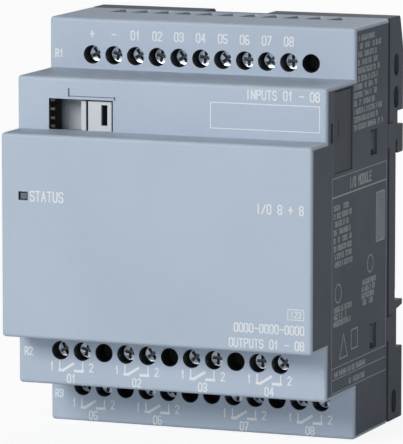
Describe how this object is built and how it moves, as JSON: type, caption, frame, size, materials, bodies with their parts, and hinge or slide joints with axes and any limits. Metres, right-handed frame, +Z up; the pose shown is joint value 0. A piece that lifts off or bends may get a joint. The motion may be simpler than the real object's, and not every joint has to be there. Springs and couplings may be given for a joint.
{
  "type": "plc expansion module",
  "caption": "Rail-mounted digital input and relay output module with a stepped front, screw terminals, side bus coupling and rear mounting slides.",
  "frame": {"origin": "centre of the flat seat that rests on the front of a 35 mm rail, on the rail's centreline", "axes": "+Y points out of the back towards the rail, +Z is up, X runs along the rail"},
  "size_m": [0.0716, 0.06, 0.09],
  "materials": {
    "case_front": "fine eroded matt texture",
    "case_side": "fine eroded matt texture",
    "case_rear": "fine eroded matt texture",
    "slide_dark": "moulded satin",
    "slide_white": "moulded satin",
    "terminal_plastic": "moulded satin",
    "black_plastic": "moulded satin",
    "plated_steel": "zinc plated",
    "screw_nickel": "nickel plated",
    "tinned_brass": "tin plated",
    "gold": "gold plated",
    "light_pipe": "clear moulding",
    "led": "diffuse lens",
    "board": "solder mask",
    "relay_case": "smooth moulding",
    "capacitor_can": "sleeved can",
    "ferrite": "ground ferrite"
  },
  "bodies": {
    "housing": {"front_cover": "case_front", "side_housing": "case_side", "rear_base": "case_rear", "terminal_block_x10": "terminal_plastic", "terminal_block_x11": "terminal_plastic", "terminal_block_x12": "terminal_plastic", "terminal_cages_x10": "plated_steel", "terminal_cages_x11": "plated_steel", "terminal_cages_x12": "plated_steel", "contact_bars_x10": "tinned_brass", "contact_bars_x11": "tinned_brass", "contact_bars_x12": "tinned_brass", "light_pipe": "light_pipe", "status_led": "led", "logic_board": "board", "relay_board": "board", "board_header": "black_plastic", "relays_upper": "relay_case", "relays_lower": "relay_case", "microcontroller": "black_plastic", "buffer_capacitor": "capacitor_can", "power_inductor": "ferrite", "bus_socket": "black_plastic", "bus_socket_contacts": "gold"},
    "coupling": {"coupling_slide": "slide_white", "bus_plug": "black_plastic", "bus_pins": "gold"},
    "connector_cover": {"connector_cover": "case_side"},
    "din_latch": {"din_latch": "slide_dark"},
    "wall_slide": {"wall_slide": "slide_dark"},
    "screw_x10_01": {"screw_x10_01": "screw_nickel"},
    "screw_x10_02": {"screw_x10_02": "screw_nickel"},
    "screw_x10_03": {"screw_x10_03": "screw_nickel"},
    "screw_x10_04": {"screw_x10_04": "screw_nickel"},
    "screw_x10_05": {"screw_x10_05": "screw_nickel"},
    "screw_x10_06": {"screw_x10_06": "screw_nickel"},
    "screw_x10_07": {"screw_x10_07": "screw_nickel"},
    "screw_x10_08": {"screw_x10_08": "screw_nickel"},
    "screw_x10_09": {"screw_x10_09": "screw_nickel"},
    "screw_x10_10": {"screw_x10_10": "screw_nickel"},
    "screw_x11_01": {"screw_x11_01": "screw_nickel"},
    "screw_x11_02": {"screw_x11_02": "screw_nickel"},
    "screw_x11_04": {"screw_x11_04": "screw_nickel"},
    "screw_x11_05": {"screw_x11_05": "screw_nickel"},
    "screw_x11_07": {"screw_x11_07": "screw_nickel"},
    "screw_x11_08": {"screw_x11_08": "screw_nickel"},
    "screw_x11_10": {"screw_x11_10": "screw_nickel"},
    "screw_x11_11": {"screw_x11_11": "screw_nickel"},
    "screw_x12_01": {"screw_x12_01": "screw_nickel"},
    "screw_x12_02": {"screw_x12_02": "screw_nickel"},
    "screw_x12_04": {"screw_x12_04": "screw_nickel"},
    "screw_x12_05": {"screw_x12_05": "screw_nickel"},
    "screw_x12_08": {"screw_x12_08": "screw_nickel"},
    "screw_x12_09": {"screw_x12_09": "screw_nickel"},
    "screw_x12_11": {"screw_x12_11": "screw_nickel"},
    "screw_x12_12": {"screw_x12_12": "screw_nickel"}
  },
  "joints": [
    {"name": "bus_coupling", "type": "slide", "parent": "housing", "child": "coupling", "axis": [-1, 0, 0], "range_m": [0, 0.006]},
    {"name": "connector_cover_off", "type": "slide", "parent": "housing", "child": "connector_cover", "axis": [1, 0, 0], "range_m": [0, 0.012]},
    {"name": "latch_down", "type": "slide", "parent": "housing", "child": "din_latch", "axis": [0, 0, -1], "range_m": [0, 0.009]},
    {"name": "mounting_slide_up", "type": "slide", "parent": "housing", "child": "wall_slide", "axis": [0, 0, 1], "range_m": [0, 0.009]},
    {"name": "turn_screw_x10_01", "type": "hinge", "parent": "housing", "child": "screw_x10_01", "pos_m": [-0.02565, -0.025, 0.03695], "axis": [0, 1, 0], "range_deg": [-1150, 0]},
    {"name": "turn_screw_x10_02", "type": "hinge", "parent": "housing", "child": "screw_x10_02", "pos_m": [-0.02054, -0.025, 0.03695], "axis": [0, 1, 0], "range_deg": [-1150, 0]},
    {"name": "turn_screw_x10_03", "type": "hinge", "parent": "housing", "child": "screw_x10_03", "pos_m": [-0.01542, -0.025, 0.03695], "axis": [0, 1, 0], "range_deg": [-1150, 0]},
    {"name": "turn_screw_x10_04", "type": "hinge", "parent": "housing", "child": "screw_x10_04", "pos_m": [-0.0103, -0.025, 0.03695], "axis": [0, 1, 0], "range_deg": [-1150, 0]},
    {"name": "turn_screw_x10_05", "type": "hinge", "parent": "housing", "child": "screw_x10_05", "pos_m": [-0.00519, -0.025, 0.03695], "axis": [0, 1, 0], "range_deg": [-1150, 0]},
    {"name": "turn_screw_x10_06", "type": "hinge", "parent": "housing", "child": "screw_x10_06", "pos_m": [-0.00007, -0.025, 0.03695], "axis": [0, 1, 0], "range_deg": [-1150, 0]},
    {"name": "turn_screw_x10_07", "type": "hinge", "parent": "housing", "child": "screw_x10_07", "pos_m": [0.00504, -0.025, 0.03695], "axis": [0, 1, 0], "range_deg": [-1150, 0]},
    {"name": "turn_screw_x10_08", "type": "hinge", "parent": "housing", "child": "screw_x10_08", "pos_m": [0.01016, -0.025, 0.03695], "axis": [0, 1, 0], "range_deg": [-1150, 0]},
    {"name": "turn_screw_x10_09", "type": "hinge", "parent": "housing", "child": "screw_x10_09", "pos_m": [0.01527, -0.025, 0.03695], "axis": [0, 1, 0], "range_deg": [-1150, 0]},
    {"name": "turn_screw_x10_10", "type": "hinge", "parent": "housing", "child": "screw_x10_10", "pos_m": [0.02039, -0.025, 0.03695], "axis": [0, 1, 0], "range_deg": [-1150, 0]},
    {"name": "turn_screw_x11_01", "type": "hinge", "parent": "housing", "child": "screw_x11_01", "pos_m": [-0.02585, -0.043, -0.02615], "axis": [0, 1, 0], "range_deg": [-1150, 0]},
    {"name": "turn_screw_x11_02", "type": "hinge", "parent": "housing", "child": "screw_x11_02", "pos_m": [-0.02073, -0.043, -0.02615], "axis": [0, 1, 0], "range_deg": [-1150, 0]},
    {"name": "turn_screw_x11_04", "type": "hinge", "parent": "housing", "child": "screw_x11_04", "pos_m": [-0.01051, -0.043, -0.02615], "axis": [0, 1, 0], "range_deg": [-1150, 0]},
    {"name": "turn_screw_x11_05", "type": "hinge", "parent": "housing", "child": "screw_x11_05", "pos_m": [-0.00539, -0.043, -0.02615], "axis": [0, 1, 0], "range_deg": [-1150, 0]},
    {"name": "turn_screw_x11_07", "type": "hinge", "parent": "housing", "child": "screw_x11_07", "pos_m": [0.00484, -0.043, -0.02615], "axis": [0, 1, 0], "range_deg": [-1150, 0]},
    {"name": "turn_screw_x11_08", "type": "hinge", "parent": "housing", "child": "screw_x11_08", "pos_m": [0.00996, -0.043, -0.02615], "axis": [0, 1, 0], "range_deg": [-1150, 0]},
    {"name": "turn_screw_x11_10", "type": "hinge", "parent": "housing", "child": "screw_x11_10", "pos_m": [0.02019, -0.043, -0.02615], "axis": [0, 1, 0], "range_deg": [-1150, 0]},
    {"name": "turn_screw_x11_11", "type": "hinge", "parent": "housing", "child": "screw_x11_11", "pos_m": [0.0253, -0.043, -0.02615], "axis": [0, 1, 0], "range_deg": [-1150, 0]},
    {"name": "turn_screw_x12_01", "type": "hinge", "parent": "housing", "child": "screw_x12_01", "pos_m": [-0.0282, -0.025, -0.03715], "axis": [0, 1, 0], "range_deg": [-1150, 0]},
    {"name": "turn_screw_x12_02", "type": "hinge", "parent": "housing", "child": "screw_x12_02", "pos_m": [-0.02309, -0.025, -0.03715], "axis": [0, 1, 0], "range_deg": [-1150, 0]},
    {"name": "turn_screw_x12_04", "type": "hinge", "parent": "housing", "child": "screw_x12_04", "pos_m": [-0.01286, -0.025, -0.03715], "axis": [0, 1, 0], "range_deg": [-1150, 0]},
    {"name": "turn_screw_x12_05", "type": "hinge", "parent": "housing", "child": "screw_x12_05", "pos_m": [-0.00774, -0.025, -0.03715], "axis": [0, 1, 0], "range_deg": [-1150, 0]},
    {"name": "turn_screw_x12_08", "type": "hinge", "parent": "housing", "child": "screw_x12_08", "pos_m": [0.0076, -0.025, -0.03715], "axis": [0, 1, 0], "range_deg": [-1150, 0]},
    {"name": "turn_screw_x12_09", "type": "hinge", "parent": "housing", "child": "screw_x12_09", "pos_m": [0.01272, -0.025, -0.03715], "axis": [0, 1, 0], "range_deg": [-1150, 0]},
    {"name": "turn_screw_x12_11", "type": "hinge", "parent": "housing", "child": "screw_x12_11", "pos_m": [0.02295, -0.025, -0.03715], "axis": [0, 1, 0], "range_deg": [-1150, 0]},
    {"name": "turn_screw_x12_12", "type": "hinge", "parent": "housing", "child": "screw_x12_12", "pos_m": [0.02806, -0.025, -0.03715], "axis": [0, 1, 0], "range_deg": [-1150, 0]}
  ]
}
